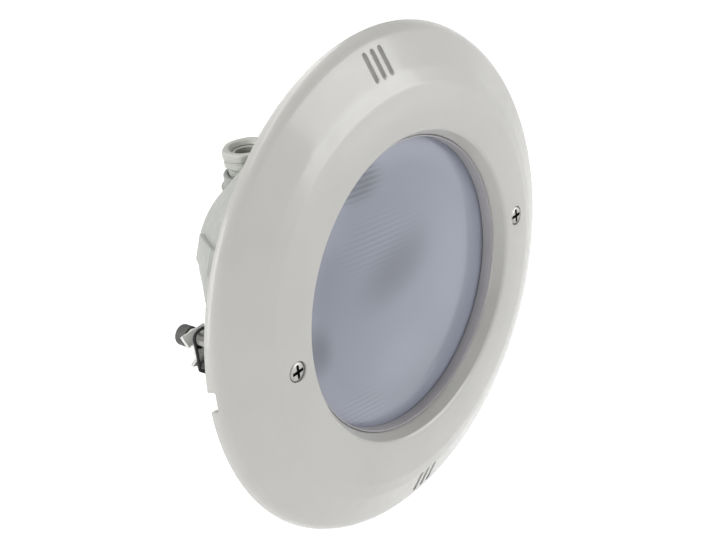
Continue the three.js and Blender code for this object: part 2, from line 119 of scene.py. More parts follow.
CLAW_Y, CLAW_SHEET, CLAW_HALF, CLAW_REACH = lowest("claw_left").y, 2.2, 4.5, -lowest("claw_left").z
FINE, MEDIUM, COARSE = 256, 96, 48     # facets round large, middling and small turned pieces


def flange_places():
    """(x, z) of each flange screw."""
    angles = [math.radians(FLANGE_FIRST + 360 / FLANGE_SCREWS * i) for i in range(FLANGE_SCREWS)]
    return [(FLANGE_CIRCLE * math.cos(a), FLANGE_CIRCLE * math.sin(a)) for a in angles]


# ---------------------------------------------------------------- outlines
STRAIGHT = math.radians(88.5)          # half the angle from which a corner counts as none
SHARE = 0.46                           # most of a side that the arc at one of its ends may take


def rounded(points, radius, steps=4, closed=True):
    """The outline with each corner turned into an arc. A third number in a point is its own radius."""
    out = []
    for i, point in enumerate(points):
        q = np.array(point[:2], float)
        size = point[2] if len(point) > 2 else radius
        if size == 0 or (not closed and i in (0, len(points) - 1)):
            out.append(tuple(q))
            continue
        back = np.array(points[i - 1][:2], float) - q
        ahead = np.array(points[(i + 1) % len(points)][:2], float) - q
        long_back, long_ahead = np.linalg.norm(back), np.linalg.norm(ahead)
        back, ahead = back / long_back, ahead / long_ahead
        half = math.acos(max(-1.0, min(1.0, float(back @ ahead)))) / 2
        if half > STRAIGHT:
            out.append(tuple(q))
            continue
        reach = min(size / math.tan(half), SHARE * long_back, SHARE * long_ahead)
        size = reach * math.tan(half)
        middle = (back + ahead) / np.linalg.norm(back + ahead)
        centre = q + middle * size / math.sin(half)
        start, end = q + back * reach - centre, q + ahead * reach - centre
        first = math.atan2(start[1], start[0])
        turn = (math.atan2(end[1], end[0]) - first + math.pi) % (2 * math.pi) - math.pi
        for k in range(steps + 1):
            a = first + turn * k / steps
            out.append((centre[0] + size * math.cos(a), centre[1] + size * math.sin(a)))
    return out


def smooth_curve(points, steps):
    """A Catmull-Rom curve through the points, of any dimension."""
    pts = [np.array(q, float) for q in points]
    pts = [2 * pts[0] - pts[1], *pts, 2 * pts[-1] - pts[-2]]
    out = []
    for a, b, c, d in zip(pts, pts[1:], pts[2:], pts[3:]):
        for k in range(steps):
            t = k / steps
            out.append(0.5 * (2 * b + (c - a) * t + (2 * a - 5 * b + 4 * c - d) * t * t
                              + (3 * b - a - 3 * c + d) * t ** 3))
    return [tuple(q) for q in out] + [tuple(pts[-2])]


def arc(cx, cy, radius, start, end, steps):
    """Points of an arc between two angles in degrees."""
    angles = [math.radians(start + (end - start) * k / steps) for k in range(steps + 1)]
    return [(cx + radius * math.cos(a), cy + radius * math.sin(a)) for a in angles]


def fronts(points):
    """(r, h) pairs as (r, y) pairs."""
    return [(q[0], -q[1], *q[2:]) for q in points]


def stadium(x, z0, z1, half):
    """Outline of a slot with round ends, long in Z."""
    return arc(x, z1 - half, half, 0, 180, 8) + arc(x, z0 + half, half, 180, 360, 8)


# ---------------------------------------------------------------- meshes, in millimetres
def mesh_object(name, verts, faces):
    """A new object in the scene whose faces all point outwards."""
    bm = bmesh.new()
    made = [bm.verts.new(v) for v in verts]
    for face in faces:
        bm.faces.new([made[i] for i in face])
    bmesh.ops.recalc_face_normals(bm, faces=bm.faces)
    mesh = bpy.data.meshes.new(name)
    bm.to_mesh(mesh)
    bm.free()
    obj = bpy.data.objects.new(name, mesh)
    bpy.context.scene.collection.objects.link(obj)
    return obj


def lathe(name, profile, segments, shape=None):
    """A surface turned about Y from (r, y) pairs, a loop or from axis to axis. shape may change r."""
    verts, rows = [], []
    for r, y in profile:
        if r < 1e-6:
            rows.append([len(verts)])
            verts.append((0, y, 0))
            continue
        rows.append(list(range(len(verts), len(verts) + segments)))
        for k in range(segments):
            a = 2 * math.pi * k / segments
            q = shape(r, y, a) if shape else r
            verts.append((q * math.cos(a), y, q * math.sin(a)))
    loop = len(rows[0]) > 1 and len(rows[-1]) > 1
    faces = []
    for a, b in zip(rows, rows[1:] + rows[:1] if loop else rows[1:]):
        for k in range(segments):
            n = k + 1
            quad = [a[k % len(a)], a[n % len(a)], b[n % len(b)], b[k % len(b)]]
            faces.append(list(dict.fromkeys(quad)))
    return mesh_object(name, verts, faces)


def loft(name, rings):
    """A closed body through rings of equally many 3-D points, capped at both ends."""
    n = len(rings[0])
    verts = [v for ring in rings for v in ring]
    faces = [list(range(n)), list(range(len(verts) - n, len(verts)))]
    for i in range(len(rings) - 1):
        for k in range(n):
            m = (k + 1) % n
            faces.append([i * n + k, i * n + m, (i + 1) * n + m, (i + 1) * n + k])
    return mesh_object(name, verts, faces)


def slab(name, outline, y0, y1, edge=0.0):
    """A flat (x, z) outline with thickness from y0 to y1 and rounded edges."""
    obj = loft(name, [[(x, y, z) for x, z in outline] for y in (y0, y1)])
    if edge:
        bevel(obj, edge)
    return obj


def sweep(name, path, radius, sides, closed=False):
    """A round tube along a path of 3-D points, with its frames carried along without twist."""
    pts = [Vector(q) for q in path]
    count = len(pts)
    normal = None
    rings = []
    for i, here in enumerate(pts):
        before = pts[i - 1] if i or closed else here
        after = pts[(i + 1) % count] if i < count - 1 or closed else here
        along = (after - before).normalized()
        if normal is None:
            normal = along.orthogonal()
        normal = (normal - along * normal.dot(along)).normalized()
        side = along.cross(normal)
        ring = []
        for k in range(sides):
            a = 2 * math.pi * k / sides
            ring.append(tuple(here + radius * (normal * math.cos(a) + side * math.sin(a))))
        rings.append(ring)
    if not closed:
        return loft(name, rings)
    first = Vector(rings[0][0]) - pts[0]
    last = [(Vector(v) - pts[-1]).angle(first) for v in rings[-1]]
    shift = last.index(min(last))
    verts = [v for ring in rings for v in ring]
    faces = []
    for i in range(count):
        nxt, turn = (i + 1) % count, shift if i == count - 1 else 0
        for k in range(sides):
            a, b = (k + turn) % sides, (k + 1 + turn) % sides
            faces.append([i * sides + a, i * sides + b, nxt * sides + (k + 1) % sides, nxt * sides + k])
    return mesh_object(name, verts, faces)


def bevel(obj, width, segments=2, angle=30):
    """Rounds the edges that turn by more than the angle in degrees."""
    bm = bmesh.new()
    bm.from_mesh(obj.data)
    sharp = [e for e in bm.edges if e.is_manifold and e.calc_face_angle() > math.radians(angle)]
    bmesh.ops.bevel(bm, geom=sharp, offset=width, segments=segments, profile=0.5,
                    affect="EDGES", clamp_overlap=True)
    bmesh.ops.recalc_face_normals(bm, faces=bm.faces)
    bm.to_mesh(obj.data)
    bm.free()


def combine(obj, others, operation):
    """Joins the others to obj, or cuts them from it, and removes them."""
    for other in others:
        modifier = obj.modifiers.new("combine", "BOOLEAN")
        modifier.operation = operation
        modifier.solver = "EXACT"
        modifier.object = other
        result = bpy.data.meshes.new_from_object(
            obj.evaluated_get(bpy.context.evaluated_depsgraph_get()))
        obj.modifiers.clear()
        obj.data = result
        bpy.data.objects.remove(other)
    return obj


def union(obj, *others):
    return combine(obj, others, "UNION")


def cut(obj, *others):
    return combine(obj, others, "DIFFERENCE")


def moved(obj, x=0.0, y=0.0, z=0.0, turn=None):
    """Turns the mesh by (degrees, axis) about the origin, then shifts it."""
    if turn:
        obj.data.transform(Matrix.Rotation(math.radians(turn[0]), 4, turn[1]))
    obj.data.transform(Matrix.Translation((x, y, z)))
    return obj


def rod(radius, y0, y1, x=0.0, z=0.0, segments=COARSE, edge=0.0):
    """A cylinder along Y, with rounded edges where edge is their radius."""
    profile = [(0, y0), (radius, y0), (radius, y1), (0, y1)]
    if edge:
        profile = rounded(profile, edge, 3, closed=False)
    return moved(lathe("rod", profile, segments), x=x, z=z)


def upright(obj):
    """A body turned about Y is stood up on the gland's axis: its y becomes z."""
    return moved(obj, y=GLAND_Y, turn=(90, "X"))


def upright_rod(radius, z0, z1):
    return upright(rod(radius, z0, z1, segments=MEDIUM))


def place(obj, fixing):
    """Drawn about the screw's own axis; the right-hand set is the left-hand one turned half round."""
    if fixing == "right":
        moved(obj, turn=(180, "Y"))
        return moved(obj, x=SCREW_R)
    return moved(obj, x=-SCREW_R)


def finish_piece(obj, name, body, material, replaced, angle=32):
    """Names the piece, scales it to metres, shades it and ties it to the CAD. Edges sharper than the
    angle in degrees stay sharp, and a piece that has materials already keeps them."""
    obj.name = name
    obj.data.name = name
    obj.data.transform(Matrix.Scale(MM, 4))
    obj.data.shade_smooth()
    obj.data.set_sharp_from_angle(angle=math.radians(angle))
    if not obj.data.materials:
        obj.data.materials.append(material)
    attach(obj, body)
    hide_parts(*replaced)
    return obj


# ---------------------------------------------------------------- materials
def node_material(name, **sockets):
    """A material whose Principled sockets are set to the given plain values."""
    material = bpy.data.materials.new(name)
    material.use_nodes = True
    shader = material.node_tree.nodes["Principled BSDF"]
    for key, value in sockets.items():
        shader.inputs[key.replace("_", " ")].default_value = value
    return material, material.node_tree, shader


def place_on_object(tree):
    """Each point's own place on the piece, which moves with it."""
    return tree.nodes.new("ShaderNodeTexCoord").outputs["Object"]


def length_of(tree, vector):
    """How far the vector's end is from the origin."""
    node = tree.nodes.new("ShaderNodeVectorMath")
    node.operation = "LENGTH"
    tree.links.new(vector, node.inputs[0])
    return node.outputs["Value"]


def noise(tree, scale, detail=4.0, stretch=None, roughness=0.55):
    """Noise in 0 to 1 with the given number of lumps to the metre, drawn out where stretch is small."""
    coords = place_on_object(tree)
    texture = tree.nodes.new("ShaderNodeTexNoise")
    texture.inputs["Scale"].default_value = scale
    texture.inputs["Detail"].default_value = detail
    texture.inputs["Roughness"].default_value = roughness
    if stretch:
        mapping = tree.nodes.new("ShaderNodeMapping")
        mapping.inputs["Scale"].default_value = stretch
        tree.links.new(coords, mapping.inputs["Vector"])
        coords = mapping.outputs["Vector"]
    tree.links.new(coords, texture.inputs["Vector"])
    return texture.outputs["Fac"]


def ramp(tree, value, stops):
    """A colour ramp over stops of (position, (r, g, b))."""
    node = tree.nodes.new("ShaderNodeValToRGB")
    points = node.color_ramp.elements
    while len(points) < len(stops):
        points.new(0.5)
    for point, (position, colour) in zip(points, stops):
        point.position = position
        point.color = (*colour, 1)
    tree.links.new(value, node.inputs["Fac"])
    return node.outputs["Color"]


def ranged(tree, value, low, high, start=0.3, end=0.7):
    """From low to high as the value goes from start to end."""
    node = tree.nodes.new("ShaderNodeMapRange")
    node.inputs["From Min"].default_value = start
    node.inputs["From Max"].default_value = end
    node.inputs["To Min"].default_value = low
    node.inputs["To Max"].default_value = high
    tree.links.new(value, node.inputs["Value"])
    return node.outputs["Result"]


def bumped(tree, shader, height, strength, distance, edge=0.0):
    """Surface relief from a height in 0 to 1, over softened edges where edge is their radius."""
    node = tree.nodes.new("ShaderNodeBump")
    node.inputs["Strength"].default_value = strength
    node.inputs["Distance"].default_value = distance
    tree.links.new(height, node.inputs["Height"])
    if edge:
        soft = tree.nodes.new("ShaderNodeBevel")
        soft.samples = 6
        soft.inputs["Radius"].default_value = edge
        tree.links.new(soft.outputs["Normal"], node.inputs["Normal"])
    tree.links.new(node.outputs["Normal"], shader.inputs["Normal"])


def scaled(colour, factor):
    """A lighter or darker colour."""
    return tuple(min(1.0, c * factor) for c in colour)


def moulded(name, colour, rough, grain=900, relief=0.00002, spread=0.035, edge=0.0, shine=0.0):
    """Injection-moulded plastic or rubber: faint clouding, uneven gloss and a fine skin."""
    material, tree, shader = node_material(name, Coat_Weight=shine, Coat_Roughness=0.12)
    clouds = noise(tree, 22, 3)
    tree.links.new(
        ramp(tree, clouds, [(0.3, scaled(colour, 1 - spread)), (0.5, colour),
                            (0.72, scaled(colour, 1 + spread * 0.7))]),
        shader.inputs["Base Color"])
    gloss = noise(tree, 160, 5)
    tree.links.new(ranged(tree, gloss, rough - 0.05, rough + 0.07), shader.inputs["Roughness"])
    bumped(tree, shader, noise(tree, grain, 3), 0.35, relief, edge)
    return material


def metal(name, colour, rough, stretch=(1, 1, 1), scale=1500, edge=0.0, bare=1.0):
    """Metal with drawn or turned marks that run across the stretched axis; bare is less when plated."""
    material, tree, shader = node_material(name, Metallic=bare)
    marks = noise(tree, scale, 4, stretch)
    tree.links.new(
        ramp(tree, marks, [(0.3, scaled(colour, 0.86)), (0.7, scaled(colour, 1.06))]),
        shader.inputs["Base Color"])
    tree.links.new(ranged(tree, noise(tree, 300, 4), rough - 0.07, rough + 0.1),
                   shader.inputs["Roughness"])
    bumped(tree, shader, marks, 0.4, 0.00001, edge)
    return material


trim_paint = moulded("trim_plastic", (0.36, 0.355, 0.338), 0.36, edge=0.0004, shine=0.4)
bowl_paint = moulded("bowl_plastic", (0.23, 0.238, 0.221), 0.42, grain=700, relief=0.00003, edge=0.0006)
gland_paint = moulded("gland_plastic", (0.33, 0.336, 0.309), 0.4, grain=800, edge=0.0002)
gasket_rubber = moulded("gasket_rubber", (0.31, 0.3, 0.315), 0.66, grain=1600, relief=0.00003, spread=0.09)
pad_rubber = moulded("pad_rubber", (0.075, 0.075, 0.08), 0.62, grain=1600, relief=0.00004, spread=0.12,
                     edge=0.0002)
black_rubber = moulded("black_rubber", (0.008, 0.008, 0.009), 0.7, grain=1800, relief=0.00003, spread=0.2)
thread_steel = metal("thread_steel", (0.42, 0.417, 0.405), 0.42, bare=0.9)
screw_steel = metal("screw_steel", (0.4, 0.395, 0.38), 0.46)
# Painted shade: near-black steel for the driver's cross, where the recess lies in shadow
cross_painted_shade = metal("screw_cross_painted_shade", (0.02, 0.02, 0.02), 0.6)
claw_steel = metal("claw_steel", (0.58, 0.576, 0.562), 0.52, (1, 1, 9), 300, edge=0.0002, bare=0.6)
nut_metal = metal("claw_nut_metal", (0.085, 0.085, 0.083), 0.55, (9, 1, 9), 500, edge=0.0002, bare=0.7)
brass = metal("brass", (0.62, 0.46, 0.2), 0.3, edge=0.0002)
mirror = metal("reflector_coating", (0.8, 0.81, 0.83), 0.12, scale=60)
ceramic = moulded("ceramic", (0.72, 0.68, 0.58), 0.55, grain=500, relief=0.00004, spread=0.06, edge=0.0002)
sleeving = moulded("lead_sleeving", (0.5, 0.42, 0.34), 0.6, grain=1400, relief=0.00005, spread=0.1)


def capsule_material():
    material, tree, shader = node_material(
        "capsule_glass", Transmission_Weight=0.9, IOR=1.46)
    tree.links.new(ramp(tree, noise(tree, 60), [(0.3, (0.9, 0.92, 0.95)), (0.7, (0.97, 0.98, 1))]),
                   shader.inputs["Base Color"])
    tree.links.new(ranged(tree, noise(tree, 120), 0.02, 0.08), shader.inputs["Roughness"])
    return material


ANY_DEPTH = 1000                       # so large a size along Y that a patch runs through the lens


def patch(tree, coords, x, z, long, high, tilt):
    """1 at a point of the lens, falling smoothly to 0 at an ellipse of the given half-sizes, in mm."""
    ellipse = tree.nodes.new("ShaderNodeMapping")
    ellipse.vector_type = "TEXTURE"
    ellipse.inputs["Location"].default_value = (x * MM, 0, z * MM)
    ellipse.inputs["Rotation"].default_value = (0, -math.radians(tilt), 0)
    ellipse.inputs["Scale"].default_value = (long * MM, ANY_DEPTH, high * MM)
    tree.links.new(coords, ellipse.inputs["Vector"])
    return smooth(tree, length_of(tree, ellipse.outputs["Vector"]), 1.0, 0.0)


def smooth(tree, value, zero, one):
    """0 to 1 as the value goes from zero to one, with soft ends."""
    node = tree.nodes.new("ShaderNodeMapRange")
    node.interpolation_type = "SMOOTHERSTEP"
    node.inputs["From Min"].default_value = zero
    node.inputs["From Max"].default_value = one
    tree.links.new(value, node.inputs["Value"])
    return node.outputs["Result"]


def maths(tree, operation, *values):
    """A Math node over numbers and sockets."""
    node = tree.nodes.new("ShaderNodeMath")
    node.operation = operation
    for socket, value in zip(node.inputs, values):
        if isinstance(value, (int, float)):
            socket.default_value = value
        else:
            tree.links.new(value, socket)
    return node.outputs["Value"]


def weighted(tree, parts):
    """The sum of sockets times numbers."""
    total = 0.0
    for socket, weight in parts:
        total = maths(tree, "MULTIPLY_ADD", socket, weight, total)
    return total


def rib_wave(tree, coords):
    """0 to 1 and back across each rib of the lens."""
    turn = tree.nodes.new("ShaderNodeMapping")
    turn.inputs["Rotation"].default_value = (0, LENS_TILT, 0)
    tree.links.new(coords, turn.inputs["Vector"])
    wave = tree.nodes.new("ShaderNodeTexWave")
    wave.wave_type = "BANDS"
    wave.bands_direction = "Z"
    wave.wave_profile = "SIN"
    wave.inputs["Scale"].default_value = 2 * math.pi / (20 * LENS_PITCH * MM)
    wave.inputs["Distortion"].default_value = 0.0
    tree.links.new(turn.outputs["Vector"], wave.inputs["Vector"])
    return wave.outputs["Fac"]


def lens_material():
    """Milky glass: cloudy lilac grey, with the lamp behind it painted in as light and dark patches, its edge
    lightened by paint, and the ribs of the inside painted in as light and dark stripes in places.
    """
    material, tree, shader = node_material(
        "lens_glass", Coat_Weight=0.8, Coat_Roughness=0.1, Coat_IOR=1.45, IOR=1.45)
    coords = place_on_object(tree)
    clouds = noise(tree, 9, 1, roughness=0.3)
    # Painted light and shade: the reflector and lamp behind the glass are painted in as light and dark
    # patches, each at (x, z) with its half-sizes.
    # Painted light: the glass is lightened towards its edge, against the gasket's shadow
    painted_edge_light = smooth(tree, length_of(tree, coords), 0.062, 0.082)
    # corner: a painted dark patch at the top left, where the lamp behind shows dark
    corner = patch(tree, coords, -26, 72, 30, 17, -8)
    clouds_and_painted_light = weighted(tree, [
        (clouds, 0.5), (painted_edge_light, 0.28), (corner, -0.8),
        (patch(tree, coords, -5, 12, 48, 26, 12), -0.35),
        (patch(tree, coords, -73, -8, 18, 24, 0), -0.52),
        (patch(tree, coords, 34, -74, 50, 24, 25), 0.05),
        (patch(tree, coords, 54, 0, 52, 78, 0), 0.16),
        (patch(tree, coords, -6, -42, 40, 26, 0), 0.12),
        (patch(tree, coords, -47, 48, 22, 16, 0), 0.1),
    ])

    wave = rib_wave(tree, coords)
    # Painted light and shade: the ribs are painted in as light and dark stripes where they catch the light,
    # strongest in the dark corner
    painted_rib_light = weighted(tree, [
        (corner, 0.6),
        (patch(tree, coords, -16, 34, 46, 24, -4), 0.16),
        (patch(tree, coords, -46, -60, 36, 24, -8), 0.34),
        (patch(tree, coords, -10, -34, 50, 22, 0), 0.05),
    ])
    ribs = maths(tree, "MULTIPLY", maths(tree, "SUBTRACT", wave, 0.5), painted_rib_light)
    clouds_and_painted_light = maths(tree, "ADD", maths(tree, "ADD", clouds_and_painted_light, ribs), 0.3)
    shade = ramp(tree, clouds_and_painted_light, [(0.0, (0.07, 0.079, 0.103)), (0.5, (0.156, 0.171, 0.213)),
                              (1.0, (0.235, 0.252, 0.31))])
    shade.node.color_ramp.interpolation = "B_SPLINE"
    tree.links.new(shade, shader.inputs["Base Color"])
    tree.links.new(ranged(tree, clouds, 0.24, 0.36, 0.0, 1.0), shader.inputs["Roughness"])
    bumped(tree, shader, wave, 0.06, 0.0001)
    return material


# ---------------------------------------------------------------- trim ring
INNER_FACE = [(119.4, 15.9), (116.5, 16.95), (113.5, 18), (110.3, 18.9), (99, 20.6), (90, 21.3)]
LIP = [(90, 21.3), (87.8, 21.2, 1.2), (86.4, 20.3, 1.2), (LIP_R + 0.7, 15.6, 1), (LIP_R, 14.4)]


def face_profile():
    """(r, h) from the rear edge over the rolled edge and the cone to the lip."""
    roll = arc(ROLL_R, ROLL_H, ROLL_RADIUS, 17.5, 62.7, 18)
    foot, crest = np.array(roll[-1]), np.array(INNER_FACE[0])
    cone = [tuple(foot + (crest - foot) * k / 7) for k in range(1, 7)]
    lip = rounded(LIP, 0, 4, closed=False)[1:]
    return [(RIM_R, 0)] + roll + cone + smooth_curve(INNER_FACE, 4) + lip


FACE = face_profile()
FACE_RADII, FACE_HEIGHTS = zip(*sorted(FACE))


def face_height(x, z):
    """Height of the trim ring's face in front of the wall at a point."""
    return float(np.interp(math.hypot(x, z), FACE_RADII, FACE_HEIGHTS))


def well(name, outline, floor_h, ease, draft=0.0):
    """A cutter for a hole in the face, tapered by the draft, whose mouth has an eased edge. outline
    gives the hole's (x, z) points, grown by a distance."""
    rings = [[(x, -floor_h, z) for x, z in outline(-draft)]]
    for angle in (0, 24, 48, 68):
        a = math.radians(angle)
        drop = ease * (1 - math.sin(a))
        rings.append([(x, drop - face_height(x, z), z) for x, z in outline(ease * (1 - math.cos(a)))])
    mouth = outline(ease * 1.15)
    rings.append([(x, -face_height(x, z) - 1.2, z) for x, z in mouth])
    rings.append([(x, -FACE_TOP, z) for x, z in mouth])
    return loft(name, rings)


def face_screw_wells():
    """The recess for each face screw's head, and the hole for its shank."""
    wells = []
    for side in (-1, 1):
        x = side * SCREW_R
        wells.append(well("well", lambda grown: arc(x, 0, RECESS_RADIUS + grown, 0, 351, 39), RECESS_H, 0.3))
        wells.append(rod(THREAD_BORE, -25, 5, x=x))
    return wells


def face_slots():
    """The three vent slots at the top and the three at the bottom, right through the face."""
    slots = []
    for end in (-1, 1):
        low, high = sorted((end * SLOT_NEAR, end * SLOT_FAR))
        for i in (-1, 0, 1):
            x = i * SLOT_PITCH
            slots.append(well(
                "slot", lambda grown: stadium(x, low - grown, high + grown, SLOT_HALF + grown),
                floor_h=-0.5, ease=0.25, draft=0.8))
    return slots


def rim_notches():
    """The pry notch in the rim on each side."""
    notches = []
    corners = [(-NOTCH_HALF, -3), (NOTCH_HALF, -3), (NOTCH_HALF, NOTCH_DEPTH), (-NOTCH_HALF, NOTCH_DEPTH)]
    for side in (-1, 1):
        outline = rounded([(z, h, 1.0 if h > 0 else 0) for z, h in corners], 1.0)
        rings = [[(x, -h, z) for z, h in outline] for x in (side * NOTCH_INNER, side * (RIM_R + 4))]
        notches.append(loft("notch", rings))
    return notches


def trim_ring():
    underside = rounded([
        (LIP_R, 14.4, 0), (LIP_R, 12.3), (92.4, 12.3), (92.4, -0.6), (95.2, -0.6), (95.2, 17.7, 0.5),
        (110, 15.9, 3), (118.3, 12.8, 4), (134.4, 4.4, 3), (RIM_INNER_R, 0.2, 0), (RIM_INNER_R + 0.4, 0, 0),
    ], 0.35, 3, closed=False)
    ring = lathe("trim", fronts(FACE + underside[1:]), FINE)
    posts = []
    for side in (-1, 1):
        posts.append(rod(SCREW_POST, -14, POST_REAR, x=side * SCREW_R))
        posts.append(rod(SCREW_BOSS, -18, -13.5, x=side * SCREW_R))
    posts += [rod(FLANGE_POST, -17.5, POST_REAR, x, z, edge=0.3) for x, z in flange_places()]
    bores = [rod(FLANGE_THREAD, -12, 2, x, z) for x, z in flange_places()]
    union(ring, *posts)
    cut(ring, *bores, *face_screw_wells(), *face_slots(), *rim_notches())
    return finish_piece(ring, "trim_ring_moulding", "housing", trim_paint, ["trim_ring"])


# ---------------------------------------------------------------- gasket, seals and lamp
def gasket():
    profile = rounded(fronts([
        (81.2, 8.3, 0.15), (81.9, 14.3, 0.35), (82.7, 14.3, 0.3), (82.7, 12), (92.1, 12), (92.1, -0.7),
        (86, -0.7), (86, 1.9), (89.1, 1.9), (89.1, 8.3),
    ]), 0.25, 3)
    return finish_piece(lathe("gasket", profile, FINE), "lens_gasket_ring", "housing",
                        gasket_rubber, ["lens_gasket"])


def housing_o_ring():
    ring = lathe("seal", arc(93.3, 2.2, 1.2, 0, 345, 23), FINE)
    return finish_piece(ring, "housing_seal_ring", "housing", black_rubber, ["housing_seal"])


def lens():
    """Glass disc, smooth and slightly crowned in front, with fine level ribs moulded inside."""
    rows, across = 600, 44             # mesh rows across the ribs, and cells along each row
    seat, seat_h, drop = 81.0, 8.0, 0.1
    thick, ribs_deep, ribs_clear = 3.9, 0.45, 3
    along = (math.cos(LENS_TILT), math.sin(LENS_TILT))

    def crown(r):
        if r > seat:
            return seat_h - drop * (r - seat) / (LENS_R - seat)
        return LENS_H - (LENS_H - seat_h) * (r / seat) ** 2

    verts, index = [], {}
    for face in (0, 1):
        for j in range(rows + 1):
            v = LENS_R * math.sin(math.pi * (j / rows - 0.5))
            chord = math.sqrt(max(0.0, LENS_R ** 2 - v ** 2))
            for i in range(across + 1 if 0 < j < rows else 1):
                u = chord * (2 * i / across - 1) if 0 < j < rows else 0.0
                r = math.hypot(u, v)
                h = crown(r)
                if face:
                    fade = min(1.0, max(0.0, (seat - ribs_clear - r) / ribs_clear))
                    rib = 0.5 + 0.5 * math.cos(2 * math.pi * v / LENS_PITCH)
                    h -= thick - ribs_deep * fade * rib
                index[face, j, i] = len(verts)
                verts.append((u * along[0] - v * along[1], -h, u * along[1] + v * along[0]))

    def at(face, j, i):
        return index[face, j, i if 0 < j < rows else 0]

    faces = []
    for face in (0, 1):
        for j in range(rows):
            for i in range(across):
                quad = [at(face, j, i), at(face, j, i + 1), at(face, j + 1, i + 1), at(face, j + 1, i)]
                faces.append(list(dict.fromkeys(quad)))
    for j in range(rows):
        for i in (0, across):
            quad = [at(0, j, i), at(0, j + 1, i), at(1, j + 1, i), at(1, j, i)]
            faces.append(list(dict.fromkeys(quad)))
    return finish_piece(mesh_object("lens", verts, faces), "lens_ribbed_glass", "housing",
                        lens_material(), ["lamp_lens"], 50)


def dish(apex, inset):
    """(r, y) from rim to neck along a parabola with its apex at the given y, drawn in by the inset."""
    curve, depth = 0.0101, 61
    return [(math.sqrt((apex - y) / curve) - inset, y) for y in np.linspace(0, depth, 40)]


def reflector():
    profile = fronts([(LENS_R, 4), (LENS_R, 2.2), (85, 2.2)]) + dish(70, 0)
    profile += [(21, 66.5), (18.6, 67.4), (18, 68.6), (18, 74), (10, 74), (10, 66)] + dish(68, 1)[::-1]
    profile += fronts([(81, 2.2), (82, 4)])
    return finish_piece(lathe("reflector", profile, 160), "reflector_dish", "housing",
                        mirror, ["lamp_reflector"])


def capsule():
    profile = smooth_curve([(0, 27), (3, 27.8), (5.4, 30), (6.5, 33.5), (6.5, 42), (6.5, 50), (4.6, 53.5)], 4)
    profile = [(max(0.0, r), y) for r, y in profile] + [(4.6, 59.7), (0, 59.7)]
    return finish_piece(lathe("capsule", profile, COARSE), "halogen_bulb", "housing",
                        capsule_material(), ["halogen_capsule"])


def lamp_base():
    profile = rounded([(0, 60), (9.3, 60), (9.3, 74.3), (17, 74.3), (17, 82), (0, 82)], 0.8, 4, closed=False)
    return finish_piece(lathe("base", profile, MEDIUM), "lamp_base_cap", "housing",
                        ceramic, ["lamp_base"])


def lead(name, side):
    """Sleeved lead from the terminal block to the lamp."""
    route = [(6, 89, -23.4), (6.4, 89, -19), (10, 91.5, -12), (9.5, 90.5, -6.5), (7, 87.5, -1.9)]
    path = smooth_curve([(side * x, y, z) for x, y, z in route], 8)
    return finish_piece(sweep("lead", path, 1.2, 14), f"lamp_lead_{name}_sleeve", "housing",
                        sleeving, [f"lamp_lead_{name}"])


# ---------------------------------------------------------------- bowl
def bowl_rib(angle):
    """A fore-and-aft rib that follows the bowl, with eased edges."""
    outline = [(BARREL_RADIUS + RIB_PROUD, 3)]
    outline += [(r + RIB_PROUD, y + 0.6 * RIB_PROUD) for r, y in smooth_curve(BOWL_OUTSIDE[1:6], 4)]
    outline += [(46, 88), (46, 5)]
    a = math.radians(angle)
    rings = []
    for w in (-RIB_HALF, RIB_HALF):
        rings.append([(r * math.cos(a) - w * math.sin(a), y, r * math.sin(a) + w * math.cos(a))
                      for r, y in outline])
    rib = loft("rib", rings)
    bevel(rib, 0.9, 3, 60)
    return rib


def bowl_shell():
    """The hollow bowl with its ribs, the pocket round the gland and the O-ring's groove."""
    facets = 224
    flange = rounded(
        [(0, FLANGE_FRONT, 0), (FLANGE_RADIUS, FLANGE_FRONT, 0.6), (FLANGE_RADIUS, FLANGE_REAR, 0.8),
         (90, FLANGE_REAR, 2.0), (*BOWL_OUTSIDE[0], 2.5), (*BOWL_OUTSIDE[1], 0)], 1, 4, closed=False)
    shell = lathe("bowl", flange + smooth_curve(BOWL_OUTSIDE[1:], 5)[1:], facets)
    union(shell, *[bowl_rib(a) for a in (RIB_ANGLE, 180 - RIB_ANGLE, 180 + RIB_ANGLE, -RIB_ANGLE)])
    cut(shell, upright_rod(POCKET_RADIUS, POCKET_FLOOR, POCKET_TOP))
    hollow = lathe("hollow", [(0, -4), (84, -4)] + smooth_curve(BOWL_INSIDE, 4), facets)
    cut(hollow, upright_rod(POCKET_RADIUS + POCKET_WALL, POCKET_FLOOR - POCKET_WALL, POCKET_TOP))
    groove = lathe("groove", [(91.8, 0), (94.8, 0), (94.8, 3.8), (91.8, 3.8)], facets)
    return cut(shell, hollow, groove)


def gland_turret():
    """The post that holds the gland, with a fillet at the pocket's floor."""
    fillet = arc(17.4, 43.5, 2.1, 268, 180, 5)
    rim = arc(14.1, 48.0, 1.2, 0, 90, 5)
    return upright(lathe(
        "turret", [(0, TURRET_FOOT), (TURRET_RADIUS, TURRET_FOOT), (TURRET_RADIUS, 41), (17.4, 41)]
        + fillet + rim + [(0, TURRET_TOP)], MEDIUM))


def turret_bore():
    """The cutter for the gland's seat, with a wider mouth."""
    return upright(lathe(
        "bore", [(0, 33), (TURRET_BORE, 33), (TURRET_BORE, 48.4), (TURRET_BORE + 0.6, 49.3),
                 (TURRET_BORE + 0.6, 55), (0, 55)], MEDIUM))


def terminal_pedestal():
    """The foot inside the bowl that the terminal block stands on."""
    return slab("pedestal", [(-9, -34), (9, -34), (9, -26), (-9, -26)], 94.3, 108.4)


